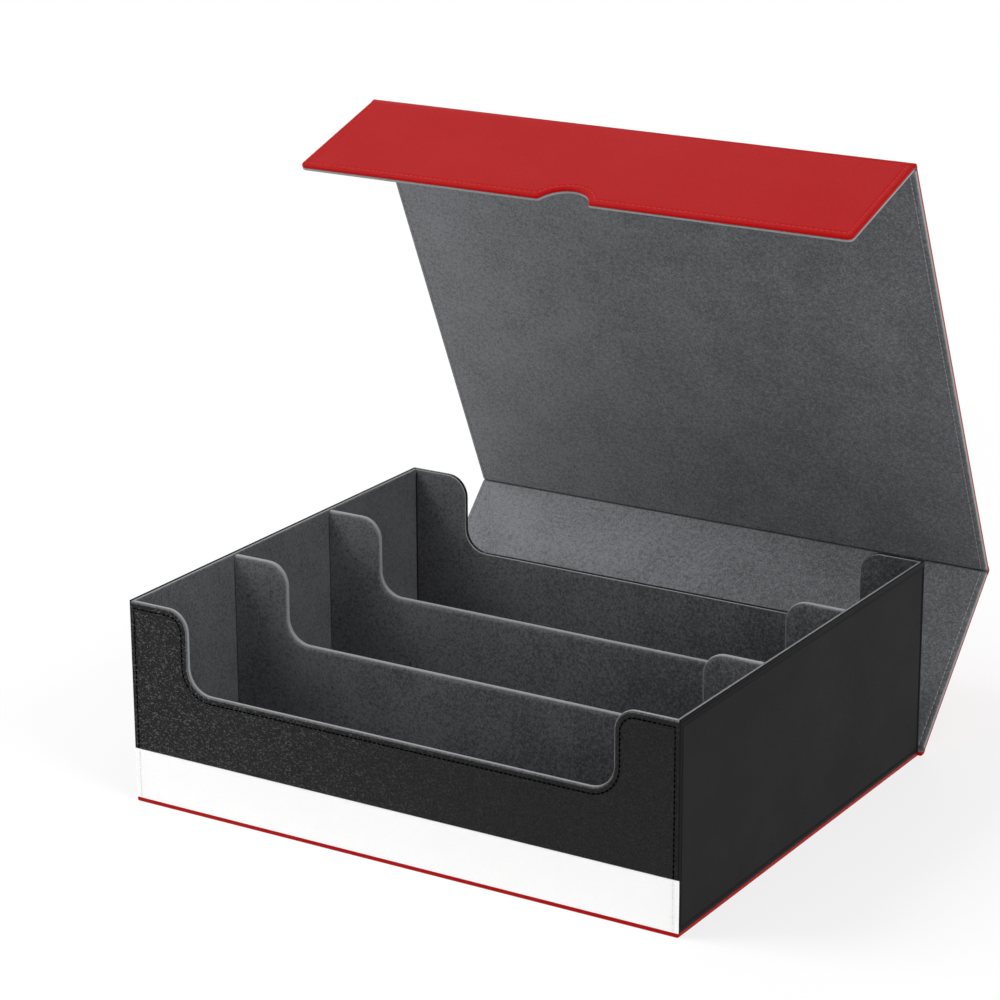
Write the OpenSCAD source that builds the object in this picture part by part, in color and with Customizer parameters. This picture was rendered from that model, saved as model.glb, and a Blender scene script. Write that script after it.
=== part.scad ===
// Card storage box: a lined tray with three rows, and a hinged cover that folds over its back, top and front.
// The origin is the middle of the underside. +X runs along the front, +Y to the back and +Z up.
// The model stands open at the three rest angles.

/* [Tray] */
// Width of the tray across its front
tray_w = 320; // [290:1:360]
// Depth of the tray from front to back
tray_d = 265; // [230:1:300]
// Height of the tray with its base panel
tray_h = 110; // [104:1:130]
// Board inside each wall of the tray
wall_board_t = 1.8; // [1.4:0.1:2.4]
// Leatherette over the outside of the tray
skin_t = 0.6; // [0.4:0.1:0.8]
// Microfibre over the inside of the tray and over the top of its walls
lining_t = 0.6; // [0.4:0.1:0.8]
// Radius of the tray's upright corners
corner_r = 1.2; // [0.9:0.1:2]
// Height of the pale band along the front, from the table
band_h = 29.5; // [20:0.5:36]
// Board in the base panel
base_board_t = 1.6; // [1.2:0.1:2.4]
// Board in the floor of the tray
floor_board_t = 1.6; // [1.2:0.1:2.4]

/* [Dips and dividers] */
// From the side of the tray to the near side of a dip
dip_margin = 36; // [30:1:60]
// Depth of the dips in the front and back walls
dip_depth = 43; // [32:1:50]
// Radius of the rounded shoulder beside a dip
dip_shoulder_r = 12; // [6:0.5:16]
// Radius of the rounded corner at the floor of a dip
dip_floor_r = 13; // [6:0.5:15]
// Thickness of a divider over its wrap
divider_t = 5; // [4:0.2:7]
// Board inside a divider
divider_board_t = 1.8; // [1.4:0.1:2.4]
// How far a divider stops short of the top of the walls
divider_drop = 0.4; // [0.2:0.1:2]

/* [Cover] */
// How far the cover stands out past each side of the tray
cover_overhang = 2; // [0.5:0.5:4]
// Board in the spine, lid and flap
cover_board_t = 2.2; // [1.6:0.1:3]
// Leatherette over the outside of the cover
cover_skin_t = 0.7; // [0.5:0.1:1]
// Microfibre over the inside of the cover
cover_lining_t = 0.7; // [0.5:0.1:1]
// From the flap's fold to its free edge
flap_len = 74; // [70:1:80]
// Radius of the flap's free corners
flap_corner_r = 3; // [2:0.5:8]
// Radius of the thumb notch in the flap's free edge
notch_r = 15.5; // [12:0.5:20]
// Depth of the thumb notch
notch_depth = 11; // [6:0.5:12]
// Space between the closed cover and the tray
closed_gap = 0.5; // [0.4:0.1:1]
// Space between a crease's roll and the panel that turns round it
fold_gap = 0.3; // [0.2:0.05:0.5]

/* [Magnets] */
// Diameter of a closure magnet
magnet_d = 12; // [8:1:14]
// From the middle of the front to the middle of a magnet
magnet_x = 95; // [60:1:110]
// Space round a magnet in its board
magnet_clear = 0.1; // [0.05:0.05:0.3]

/* [Rest angles] */
// Lean of the spine to the back, from upright
spine_lean = 44; // [20:1:90]
// Lean of the lid to the front, from upright
lid_lean = 24.5; // [0:0.5:40]
// Droop of the flap below level
flap_droop = 18; // [-20:1:20]

/* [Hidden] */
$fn = 96;
right_angle = 90;
cut_over = 1;

// Heights and thicknesses in the tray
wall_t = skin_t + wall_board_t + lining_t;
base_t = skin_t + base_board_t;
floor_board_top = base_t + floor_board_t;
floor_z = floor_board_top + lining_t;
inner_w = tray_w - 2 * wall_t;
inner_d = tray_d - 2 * wall_t;
row_count = 3;
row_d = (inner_d - (row_count - 1) * divider_t) / row_count;
divider_y = (row_d + divider_t) / 2;
divider_h = tray_h - divider_drop;
divider_r = divider_t / 2;

// The dips are alike in the walls and the dividers
dip_half_w = tray_w / 2 - dip_margin;
dip_floor_z = tray_h - dip_depth;

// The cover turns on three creases, whose axes follow from the closed box
cover_t = cover_skin_t + cover_board_t + cover_lining_t;
cover_half_t = cover_t / 2;
cover_w = tray_w + 2 * cover_overhang;
roll_r = cover_half_t - fold_gap / 2;
fold_half = roll_r + fold_gap;
web_t = cover_skin_t + cover_lining_t;
fold_y = tray_d / 2 + closed_gap + cover_half_t;
fold_z = cover_half_t + fold_gap / 2;
spine_len = tray_h + closed_gap + cover_half_t - fold_z;
lid_len = tray_d + 2 * closed_gap + cover_t;

// The magnets sit halfway between the closed flap's free edge and the floor of the dips
fold_top_z = fold_z + spine_len;
magnet_z = (dip_floor_z + fold_top_z - flap_len) / 2;
magnet_flap_z = fold_top_z - magnet_z;

red = [0.72, 0.1, 0.12];
black = [0.13, 0.13, 0.135];
pale = [0.93, 0.93, 0.92];
cover_grey = [0.33, 0.34, 0.36];
tray_grey = [0.27, 0.28, 0.3];
card = [0.62, 0.56, 0.47];
steel = [0.7, 0.71, 0.73];

// A flat outline in X and Z, given its thickness along Y
module upright(from_y, to_y) {
    translate([0, to_y, 0]) rotate([right_angle, 0, 0]) linear_extrude(to_y - from_y) children();
}

// The tray seen from above, drawn in on every side by inset, with its corners kept concentric
module plan(inset) {
    r = max(corner_r - inset, 0);
    half_w = tray_w / 2 - inset;
    half_d = tray_d / 2 - inset;
    square([2 * (half_w - r), 2 * half_d], center = true);
    square([2 * half_w, 2 * (half_d - r)], center = true);
    if (r > 0) {
        for (x = [-1, 1], y = [-1, 1]) translate([x * (half_w - r), y * (half_d - r)]) circle(r);
    }
}

// The part of a plan past a line across it: side 1 keeps +X and side -1 keeps -X
module plan_past_x(line_x, side) {
    reach = tray_w / 2 + cut_over - line_x;
    intersection() {
        children();
        translate([side * (line_x + reach / 2), 0]) square([reach, tray_d + 2 * cut_over], center = true);
    }
}

// The dip cut from a wall or divider whose top edge is at top_z; inset widens it all round
module dip(top_z, inset) {
    half_w = dip_half_w + inset;
    bottom_z = dip_floor_z - inset;
    rim_z = top_z - inset;
    floor_r = dip_floor_r + inset;
    shoulder_r = dip_shoulder_r - inset;
    translate([-(half_w - floor_r), bottom_z]) square([2 * (half_w - floor_r), rim_z - bottom_z + cut_over]);
    translate([-half_w, bottom_z + floor_r]) square([2 * half_w, rim_z - bottom_z - floor_r + cut_over]);
    for (side = [0, 1]) mirror([side, 0]) {
        translate([half_w - floor_r, bottom_z + floor_r]) circle(floor_r);
        difference() {
            translate([half_w, rim_z - shoulder_r]) square([shoulder_r, shoulder_r + cut_over]);
            translate([half_w + shoulder_r, rim_z - shoulder_r]) circle(shoulder_r);
        }
    }
}

// A wall or divider seen from the front, with its top edge and its dip drawn in by inset
module dipped(half_w, foot_z, top_z, inset) {
    difference() {
        translate([-half_w, foot_z]) square([2 * half_w, top_z - inset - foot_z]);
        dip(top_z, inset);
    }
}

// A panel of the cover seen from its face, between its two folds: inset draws in its long edges,
// and reach runs its ends on
module panel(panel_len, inset, reach) {
    half_w = cover_w / 2 - inset;
    translate([-half_w, fold_half - reach]) square([2 * half_w, panel_len - 2 * (fold_half - reach)]);
}

// The flap seen from its face, with its free edge, corners and notch drawn in by inset
module flap_panel(inset, reach) {
    half_w = cover_w / 2 - inset;
    tip = flap_len - inset;
    r = max(flap_corner_r - inset, inset);
    difference() {
        union() {
            translate([-half_w, fold_half - reach]) square([2 * half_w, tip - r - fold_half + reach]);
            translate([-(half_w - r), fold_half]) square([2 * (half_w - r), tip - fold_half]);
            for (side = [-1, 1]) translate([side * (half_w - r), tip - r]) circle(r);
        }
        translate([0, flap_len + notch_r - notch_depth]) circle(notch_r + inset);
    }
}

// Places for what belongs to each turning panel, with Z along the panel and -Y on its lined side
module on_spine() {
    translate([0, fold_y, fold_z]) rotate([-spine_lean, 0, 0]) children();
}

module on_lid() {
    on_spine() translate([0, 0, spine_len]) rotate([spine_lean + lid_lean, 0, 0]) children();
}

module on_flap() {
    on_lid() translate([0, 0, lid_len]) rotate([right_angle + flap_droop - lid_lean, 0, 0]) children();
}

// Leatherette over the outer face of a panel, turned down over its edges to the middle.
// The first child is the whole outline and the second the outline of the board
module cover_skin() {
    color(red) difference() {
        upright(0, cover_half_t) children(0);
        upright(-cut_over, cover_half_t - cover_skin_t) children(1);
    }
}

// Microfibre over the inner face of a panel, turned up over its edges to the middle
module cover_lining() {
    color(cover_grey) difference() {
        upright(-cover_half_t, 0) children(0);
        upright(-cover_half_t + cover_lining_t, cut_over) children(1);
    }
}

module cover_board() {
    color(card) upright(-cover_half_t + cover_lining_t, cover_half_t - cover_skin_t) children();
}

// A crease: the two layers without board, sewn flat as far as the axis and rolled round it.
// panel_z is the end of the panel that carries it, on the Z axis of the place it is drawn in
module crease(panel_z) {
    translate([-cover_w / 2, -web_t / 2, min(panel_z, 0)]) cube([cover_w, web_t, abs(panel_z)]);
    rotate([0, right_angle, 0]) cylinder(h = cover_w, r = roll_r, center = true);
}

// A magnet on each side of the middle, through the board that lies from from_y to to_y
module magnet_pair(from_y, to_y, z, clear) {
    upright(from_y, to_y) for (side = [-1, 1]) translate([side * magnet_x, z]) circle(magnet_d / 2 + clear);
}

// Base panel
module base_skin() {
    color(red) difference() {
        linear_extrude(base_t) plan(0);
        translate([0, 0, skin_t]) linear_extrude(base_t) plan(skin_t);
    }
}

module base_board() {
    color(card) translate([0, 0, skin_t]) linear_extrude(base_board_t) plan(skin_t);
}

// The base panel's crease lies level under the foot of the back wall
module base_crease() {
    color(red) {
        translate([0, fold_y, fold_z]) rotate([0, right_angle, 0]) cylinder(h = cover_w, r = roll_r, center = true);
        translate([-(tray_w / 2 - corner_r), tray_d / 2, fold_z - roll_r])
            cube([tray_w - 2 * corner_r, fold_y - tray_d / 2, web_t]);
    }
}

// Floor of the tray
module floor_board() {
    color(card) translate([0, 0, base_t]) linear_extrude(floor_board_t)
        square([inner_w + 2 * lining_t, inner_d + 2 * lining_t], center = true);
}

module floor_lining() {
    color(tray_grey) translate([0, 0, floor_board_top]) linear_extrude(lining_t)
        square([inner_w, inner_d], center = true);
}

// The front and back boards stand between the side boards. outer_y is the face under the skin
module end_board(outer_y) {
    from_y = min(outer_y, outer_y - sign(outer_y) * wall_board_t);
    upright(from_y, from_y + wall_board_t) dipped(inner_w / 2 + lining_t, base_t, tray_h, lining_t);
}

module front_board() {
    color(card) difference() {
        end_board(-(tray_d / 2 - skin_t));
        magnet_pair(-tray_d / 2, -inner_d / 2, magnet_z, magnet_clear);
    }
}

module back_board() {
    color(card) end_board(tray_d / 2 - skin_t);
}

module side_board(side) {
    color(card) translate([0, 0, base_t]) linear_extrude(tray_h - lining_t - base_t)
        plan_past_x(inner_w / 2 + lining_t, side) plan(skin_t);
}

module left_board() side_board(-1);
module right_board() side_board(1);

// Outer leatherette. The side skins turn round the corners and cover the ends of the side boards
module end_skin(outer_y, foot_z) {
    from_y = min(outer_y, outer_y - sign(outer_y) * skin_t);
    upright(from_y, from_y + skin_t) dipped(inner_w / 2, foot_z, tray_h, 0);
}

module front_skin() {
    color(black) end_skin(-tray_d / 2, band_h);
}

module back_skin() {
    color(black) end_skin(tray_d / 2, base_t);
}

module band_plan() {
    intersection() {
        plan(0);
        translate([0, -tray_d / 2]) square([tray_w, 2 * skin_t], center = true);
    }
}

module front_band() {
    color(pale) translate([0, 0, base_t]) linear_extrude(band_h - base_t) band_plan();
}

module side_skin(side) {
    color(black) difference() {
        translate([0, 0, base_t]) linear_extrude(tray_h - base_t) plan_past_x(inner_w / 2, side) difference() {
            plan(0);
            plan(skin_t);
        }
        translate([0, 0, base_t - cut_over]) linear_extrude(band_h - base_t + cut_over)
            translate([0, -tray_d / 2]) square([tray_w + 2 * cut_over, 2 * skin_t], center = true);
    }
}

module left_skin() side_skin(-1);
module right_skin() side_skin(1);

// Inner microfibre, which also caps the top of each board and the edge of its dip
module end_lining(outer_y) {
    side = sign(outer_y);
    cap_y = outer_y - side * skin_t;
    face_y = cap_y - side * wall_board_t;
    half_w = inner_w / 2 + lining_t;
    upright(min(cap_y, face_y), max(cap_y, face_y)) difference() {
        dipped(half_w, dip_floor_z - dip_floor_r, tray_h, 0);
        dipped(half_w + cut_over, -cut_over, tray_h, lining_t);
    }
    inner_y = face_y - side * lining_t;
    upright(min(face_y, inner_y), max(face_y, inner_y)) dipped(half_w, floor_board_top, tray_h, 0);
}

module front_lining() {
    color(tray_grey) end_lining(-tray_d / 2);
}

module back_lining() {
    color(tray_grey) end_lining(tray_d / 2);
}

module side_lining(side) {
    color(tray_grey) {
        translate([0, 0, tray_h - lining_t]) linear_extrude(lining_t)
            plan_past_x(inner_w / 2 + lining_t, side) plan(skin_t);
        translate([side * (inner_w / 2 + lining_t / 2) - lining_t / 2, -inner_d / 2, floor_board_top])
            cube([lining_t, inner_d, tray_h - floor_board_top]);
    }
}

module left_lining() side_lining(-1);
module right_lining() side_lining(1);

// A divider: a board in a padded wrap whose top edge and dip are rounded over in full
module divider_board_shape() {
    upright(-divider_board_t / 2, divider_board_t / 2)
        dipped(inner_w / 2, floor_z, divider_h, divider_r);
}

// The rounded edge of the wrap, as a rod that follows the outline of the board
module divider_edge() {
    top_z = divider_h - divider_r;
    shoulder_z = divider_h - dip_shoulder_r;
    floor_arc_z = dip_floor_z + dip_floor_r;
    shoulder_x = dip_half_w + dip_shoulder_r;
    floor_arc_x = dip_half_w - dip_floor_r;
    translate([0, 0, dip_floor_z - divider_r]) rotate([0, right_angle, 0])
        cylinder(h = 2 * floor_arc_x, r = divider_r, center = true);
    for (side = [0, 1]) mirror([side, 0, 0]) {
        translate([shoulder_x, 0, top_z]) rotate([0, right_angle, 0])
            cylinder(h = inner_w / 2 - shoulder_x, r = divider_r);
        translate([dip_half_w + divider_r, 0, floor_arc_z])
            cylinder(h = shoulder_z - floor_arc_z, r = divider_r);
        translate([shoulder_x, 0, shoulder_z]) rotate([right_angle, 0, 0]) rotate([0, 0, right_angle])
            rotate_extrude(angle = right_angle) translate([dip_shoulder_r - divider_r, 0]) circle(divider_r);
        translate([floor_arc_x, 0, floor_arc_z]) rotate([right_angle, 0, 0]) rotate([0, 0, -right_angle])
            rotate_extrude(angle = right_angle) translate([dip_floor_r + divider_r, 0]) circle(divider_r);
    }
}

module divider_wrap_shape() {
    difference() {
        union() {
            upright(-divider_r, divider_r) dipped(inner_w / 2, floor_z, divider_h, divider_r);
            divider_edge();
        }
        divider_board_shape();
    }
}

module front_divider_board() {
    color(card) translate([0, -divider_y, 0]) divider_board_shape();
}

module front_divider_wrap() {
    color(tray_grey) translate([0, -divider_y, 0]) divider_wrap_shape();
}

module rear_divider_board() {
    color(card) translate([0, divider_y, 0]) divider_board_shape();
}

module rear_divider_wrap() {
    color(tray_grey) translate([0, divider_y, 0]) divider_wrap_shape();
}

module tray_magnets() {
    color(steel) magnet_pair(-(tray_d / 2 - skin_t), -(inner_d / 2 + lining_t), magnet_z, 0);
}

// Spine
module spine_skin() {
    on_spine() cover_skin() {
        panel(spine_len, 0, 0);
        panel(spine_len, cover_skin_t, cut_over);
    }
}

module spine_board() {
    on_spine() cover_board() panel(spine_len, cover_skin_t, 0);
}

module spine_lining() {
    on_spine() cover_lining() {
        panel(spine_len, 0, 0);
        panel(spine_len, cover_skin_t, cut_over);
    }
}

module lid_crease() {
    color(red) on_spine() translate([0, 0, spine_len]) crease(-fold_half);
}

// Lid
module lid_skin() {
    on_lid() cover_skin() {
        panel(lid_len, 0, 0);
        panel(lid_len, cover_skin_t, cut_over);
    }
}

module lid_board() {
    on_lid() cover_board() panel(lid_len, cover_skin_t, 0);
}

module lid_lining() {
    on_lid() cover_lining() {
        panel(lid_len, 0, 0);
        panel(lid_len, cover_skin_t, cut_over);
    }
}

module flap_crease() {
    color(red) on_lid() translate([0, 0, lid_len]) crease(-fold_half);
}

// Flap, whose magnets meet those in the front of the tray when it is closed
module flap_skin() {
    on_flap() cover_skin() {
        flap_panel(0, 0);
        flap_panel(cover_skin_t, cut_over);
    }
}

module flap_board() {
    color(card) on_flap() difference() {
        cover_board() flap_panel(cover_skin_t, 0);
        magnet_pair(-cover_t, cover_t, magnet_flap_z, magnet_clear);
    }
}

module flap_lining() {
    on_flap() cover_lining() {
        flap_panel(0, 0);
        flap_panel(cover_skin_t, cut_over);
    }
}

module flap_magnets() {
    color(steel) on_flap()
        magnet_pair(-cover_half_t + cover_lining_t, cover_half_t - cover_skin_t, magnet_flap_z, 0);
}

base_skin();
base_board();
base_crease();
floor_board();
floor_lining();
front_board();
back_board();
left_board();
right_board();
front_skin();
front_band();
back_skin();
left_skin();
right_skin();
front_lining();
back_lining();
left_lining();
right_lining();
front_divider_board();
front_divider_wrap();
rear_divider_board();
rear_divider_wrap();
tray_magnets();
spine_skin();
spine_board();
spine_lining();
lid_crease();
lid_skin();
lid_board();
lid_lining();
flap_crease();
flap_skin();
flap_board();
flap_lining();
flap_magnets();
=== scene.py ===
import math

import bmesh
import bpy
from mathutils import Matrix, Vector


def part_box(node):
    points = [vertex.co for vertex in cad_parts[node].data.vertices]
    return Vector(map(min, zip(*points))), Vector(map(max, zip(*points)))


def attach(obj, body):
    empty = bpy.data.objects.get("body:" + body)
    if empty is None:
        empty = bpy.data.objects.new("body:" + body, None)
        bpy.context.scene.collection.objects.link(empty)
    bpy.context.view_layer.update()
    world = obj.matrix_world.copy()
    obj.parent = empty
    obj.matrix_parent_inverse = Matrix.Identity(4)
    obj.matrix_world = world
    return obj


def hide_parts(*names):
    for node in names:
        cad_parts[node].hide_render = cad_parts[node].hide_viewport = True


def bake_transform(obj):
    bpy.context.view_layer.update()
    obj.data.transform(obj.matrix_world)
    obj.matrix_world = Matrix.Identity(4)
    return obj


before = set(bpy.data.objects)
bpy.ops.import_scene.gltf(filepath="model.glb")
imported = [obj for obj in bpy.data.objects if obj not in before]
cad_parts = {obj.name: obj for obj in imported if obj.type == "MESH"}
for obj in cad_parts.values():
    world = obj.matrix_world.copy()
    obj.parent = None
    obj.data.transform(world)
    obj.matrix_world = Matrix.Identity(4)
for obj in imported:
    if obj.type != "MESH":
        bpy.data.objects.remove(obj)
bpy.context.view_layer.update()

scene = bpy.context.scene
bpy.ops.object.select_all(action="DESELECT")
mm = 0.001

# Camera: where the photograph was taken from, with a long lens.
# Its place and turn come from a fit to the corners of the box.
look = Vector((-0.50284, 0.80787, -0.30740)).normalized()
level = Vector((0.84972, 0.52721, -0.00442))
above = level.cross(look).normalized()
right = look.cross(above)
camera = bpy.data.objects.new("camera", bpy.data.cameras.new("camera"))
scene.collection.objects.link(camera)
camera.location = (0.8494, -1.3968, 0.6818)
camera.rotation_euler = Matrix((right, above, -look)).transposed().to_euler()
camera.data.lens = 120.7
camera.data.sensor_width = 36
scene.camera = camera


# Boards: plain grey board, cut and glued into the tray and into each panel of
# the cover. The coverings hide them. The solids are kept as they are.
class Value:
    """A socket of a material's nodes. Sums and products with it add Math nodes."""

    def __init__(self, tree, socket):
        self.tree, self.socket = tree, socket

    def node(self, kind, settings=None, sockets=None, out=0):
        """A new node: its kind, its settings, and the values or links of its sockets."""
        made = self.tree.nodes.new("ShaderNode" + kind)
        for name, value in (settings or {}).items():
            setattr(made, name, value)
        for name, value in (sockets or {}).items():
            if isinstance(value, Value):
                self.tree.links.new(value.socket, made.inputs[name])
            else:
                made.inputs[name].default_value = value
        return Value(self.tree, made.outputs[out])

    def maths(self, operation, *terms):
        return self.node("Math", {"operation": operation}, dict(enumerate(terms)))

    def __add__(self, other):
        return self.maths("ADD", self, other)

    def __mul__(self, other):
        return self.maths("MULTIPLY", self, other)

    __radd__, __rmul__ = __add__, __mul__

    def ramp(self, low, high, to_low=0.0, to_high=1.0):
        """Eases from to_low to to_high as the value goes from low to high."""
        ends = {"From Min": low, "From Max": high, "To Min": to_low, "To Max": to_high}
        return self.node("MapRange", {"interpolation_type": "SMOOTHSTEP"}, {"Value": self, **ends})

    def spread(self, to_low=0.0, to_high=1.0):
        """Eases from to_low to to_high over the range that nearly all of a noise lies in."""
        return self.ramp(0.3, 0.7, to_low, to_high)

    def mixed(self, low, high):
        """Colour low where the value is 0 and high where it is 1."""
        ends = [c if isinstance(c, Value) else (*c, 1.0) for c in (low, high)]
        return self.node("Mix", {"data_type": "RGBA"}, {0: self, 6: ends[0], 7: ends[1]}, out=2)


class Finish:
    """A material: a Principled shader whose constant values are set on its own sockets."""

    def __init__(self, name, **constants):
        self.material = bpy.data.materials.new(name)
        self.material.use_nodes = True
        self.tree = self.material.node_tree
        self.shader = self.tree.nodes["Principled BSDF"]
        for socket, value in constants.items():
            self.shader.inputs[socket.replace("_", " ")].default_value = value
        self.at = Value(self.tree, self.tree.nodes.new("ShaderNodeTexCoord").outputs["Object"])

    def noise(self, size, detail=2.0, roughness=0.5, stretch=None):
        """Cloudy noise whose patches are about size across."""
        where = self.at
        if stretch:
            where = where.node("Mapping", {}, {"Vector": where, "Scale": stretch})
        sockets = {"Vector": where, "Scale": 1 / size, "Detail": detail, "Roughness": roughness}
        return self.at.node("TexNoise", {}, sockets)

    def feed(self, **links):
        """Links what varies to the shader: Base_Color, Roughness, or height in metres for Bump."""
        for name, value in links.items():
            if name == "height":
                bump = self.at.node("Bump", {}, {"Height": value, "Distance": 1.0, "Strength": 1.0})
                self.tree.links.new(bump.socket, self.shader.inputs["Normal"])
            else:
                self.tree.links.new(value.socket, self.shader.inputs[name.replace("_", " ")])
        return self.material


def dress(node, material):
    """Gives a solid of the frame its material and leaves its shape alone."""
    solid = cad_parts[node]
    solid.data.materials.clear()
    solid.data.materials.append(material)


BOARDS = (
    "base_board", "floor_board", "front_board", "back_board", "left_board", "right_board",
    "front_divider_board", "rear_divider_board", "spine_board", "lid_board", "flap_board",
)
dark_pulp, pale_pulp = (0.30, 0.25, 0.18), (0.42, 0.36, 0.27)
board = Finish("grey_board", Specular_IOR_Level=0.3)
board_fibre = board.noise(size=0.7 * mm, detail=6, stretch=(1, 1, 4))
board_cloud = board.noise(size=14 * mm, detail=3)
board_paper = board.feed(
    Base_Color=(board_fibre * 0.7 + board_cloud * 0.3).spread().mixed(dark_pulp, pale_pulp),
    Roughness=board_fibre.spread(0.82, 0.95),
    height=board_fibre * (0.05 * mm),
)
for name in BOARDS:
    dress(name, board_paper)

# Closure magnets: nickel-plated discs let into holes in the boards of the front
# wall and the flap. The coverings hide them, and the solids are kept as they are.
dull_nickel, bright_nickel = (0.52, 0.51, 0.49), (0.66, 0.65, 0.63)
nickel = Finish("magnet_nickel", Metallic=1.0)
nickel_scuff = nickel.noise(size=0.6 * mm, detail=5, stretch=(1, 1, 6))
nickel_plate = nickel.feed(
    Base_Color=nickel_scuff.spread().mixed(dull_nickel, bright_nickel),
    Roughness=nickel_scuff.spread(0.22, 0.4),
    height=nickel_scuff * (0.01 * mm),
)
for name in ("tray_magnets", "flap_magnets"):
    dress(name, nickel_plate)

# Base panel: red leatherette drawn over the base board and turned up round it,
# flush with the walls. It stands on the table.
same_place = 0.01 * mm  # what lies closer than this counts as one place
square_fold = 1.5  # the least turn of a fold, in radians, that is still to be rounded
smooth_turn = math.radians(42)  # the most that a surface turns and is still shaded smooth
fine_gap = 0.05 * mm  # a gap too fine to see, between two coverings that meet


def apply_place():
    """Puts the place, turn and size of the active piece into its mesh."""
    bpy.ops.object.transform_apply(location=True, rotation=True, scale=True)


def open_plane(name, middle, width, length, tilt=0.0):
    """A flat sheet, turned by tilt about the X axis, open for editing with all of it selected."""
    bpy.ops.mesh.primitive_plane_add(size=1, location=middle, rotation=(tilt, 0, 0))
    sheet = bpy.context.object
    sheet.name = name
    sheet.scale = (width, length, 1)
    apply_place()
    bpy.ops.object.mode_set(mode="EDIT")
    bpy.ops.mesh.select_all(action="SELECT")
    return sheet


def pick(kind, test):
    """Selects the vertices, edges or faces of the open mesh that pass a test on their middle."""
    bpy.ops.mesh.select_mode(type=kind)
    bpy.ops.mesh.select_all(action="DESELECT")
    mesh = bmesh.from_edit_mesh(bpy.context.edit_object.data)
    for part in {"VERT": mesh.verts, "EDGE": mesh.edges, "FACE": mesh.faces}[kind]:
        corners = [part] if kind == "VERT" else part.verts
        middle = sum((v.co for v in corners), Vector()) / len(corners)
        part.select_set(bool(test(middle, part)))
    mesh.select_flush_mode()
    bmesh.update_edit_mesh(bpy.context.edit_object.data)


def near(a, b):
    return abs(a - b) < same_place


def open_edge(at, part):
    return part.is_boundary


def sharp(at, part):
    return len(part.link_faces) == 2 and part.calc_face_angle(0) > square_fold


def extrude(x, y, z):
    bpy.ops.mesh.extrude_edges_move(TRANSFORM_OT_translate={"value": (x, y, z)})


def emboss(*steps):
    """Insets the open sheet's faces, each step by its first value inwards and its second outwards."""
    for inwards, outwards in steps:
        bpy.ops.mesh.inset(thickness=inwards, depth=outwards, use_even_offset=True, use_boundary=True)


def bevel(radius, steps, of="EDGES"):
    """Rounds the selected edges, or with VERTICES the selected corners of a flat sheet."""
    bpy.ops.mesh.bevel(offset=radius, offset_type="OFFSET", segments=steps, profile=0.5, affect=of)


def round_over(radius, steps=4):
    """Rounds the sharp folds of the open mesh."""
    pick("EDGE", sharp)
    bevel(radius, steps)


def cut(place, normal, clear=False):
    """Cuts the whole open mesh along a plane, and with clear drops what lies past it."""
    bpy.ops.mesh.select_all(action="SELECT")
    bpy.ops.mesh.bisect(plane_co=place, plane_no=normal, clear_outer=clear)


def thicken(piece, thickness):
    """Gives the open sheet its thickness inwards."""
    bpy.ops.object.mode_set(mode="OBJECT")
    wall = piece.modifiers.new("thickness", "SOLIDIFY")
    wall.thickness, wall.offset = thickness, -1
    bpy.ops.object.modifier_apply(modifier=wall.name)
    bpy.ops.object.mode_set(mode="EDIT")


def settle(piece, finish, thickness=0.0):
    """Gives a sheet its thickness, leaves edit mode, smooths the piece and gives it its finish."""
    if thickness:
        thicken(piece, thickness)
    bpy.ops.object.mode_set(mode="OBJECT")
    bpy.ops.object.shade_smooth_by_angle(angle=smooth_turn)
    piece.data.materials.clear()
    piece.data.materials.append(finish)
    piece.select_set(False)
    return piece


def pebbles(skin, size):
    """Domes about size across with creases between them, pushed about so that no crease is straight."""
    push_size, push_far = size * 1.7, size * 1.1
    noise = skin.at.node("TexNoise", {}, {"Vector": skin.at, "Scale": 1 / push_size}, out=1)
    push = skin.at.node("VectorMath", {"operation": "SCALE"}, {0: noise, 3: push_far})
    where = skin.at.node("VectorMath", {"operation": "ADD"}, {0: skin.at, 1: push})
    cells = {"Vector": where, "Scale": 1 / size}
    return skin.at.node("TexVoronoi", {"feature": "DISTANCE_TO_EDGE"}, cells).ramp(0.0, 0.32)


def leatherette(name, colour, deep, grain, depth, rough, shine, glint=None):
    """Embossed leatherette: domed pebbles with creases between them, and finer wrinkles over them.

    Where it has a glint, that is a painted highlight on the tops of some wrinkles, strongest on the left and
    faint on the right, as the light falls.
    """
    skin = Finish(name, Specular_IOR_Level=shine)
    pebble = pebbles(skin, grain)
    wrinkle = skin.noise(size=grain * 0.45, detail=4, roughness=0.6)
    wear = skin.noise(size=35 * mm, detail=3)
    relief = pebble * 0.7 + wrinkle * 0.5
    tone = (relief.ramp(0.3, 1.0) * 0.8 + wear * 0.2).mixed(deep, colour)
    if glint:
        # painted highlight: the glint colour on some wrinkle tops, fading from left to right
        glint_spots = skin.noise(size=grain * 1.2, detail=3, roughness=0.7, stretch=(1, 1, 1.6)).ramp(0.52, 0.67)
        across = skin.at.node("SeparateXYZ", {}, {"Vector": skin.at})
        on_the_left, on_the_right = 1.0, 0.15
        share = across.ramp(-150 * mm, 90 * mm, on_the_left, on_the_right)
        tone = (glint_spots * share).mixed(tone, glint)
    return skin.feed(
        Base_Color=tone,
        Roughness=(pebble * 0.5 + wear * 0.5).ramp(0.2, 0.9, rough + 0.1, rough - 0.06),
        height=relief * depth,
    )


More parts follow.
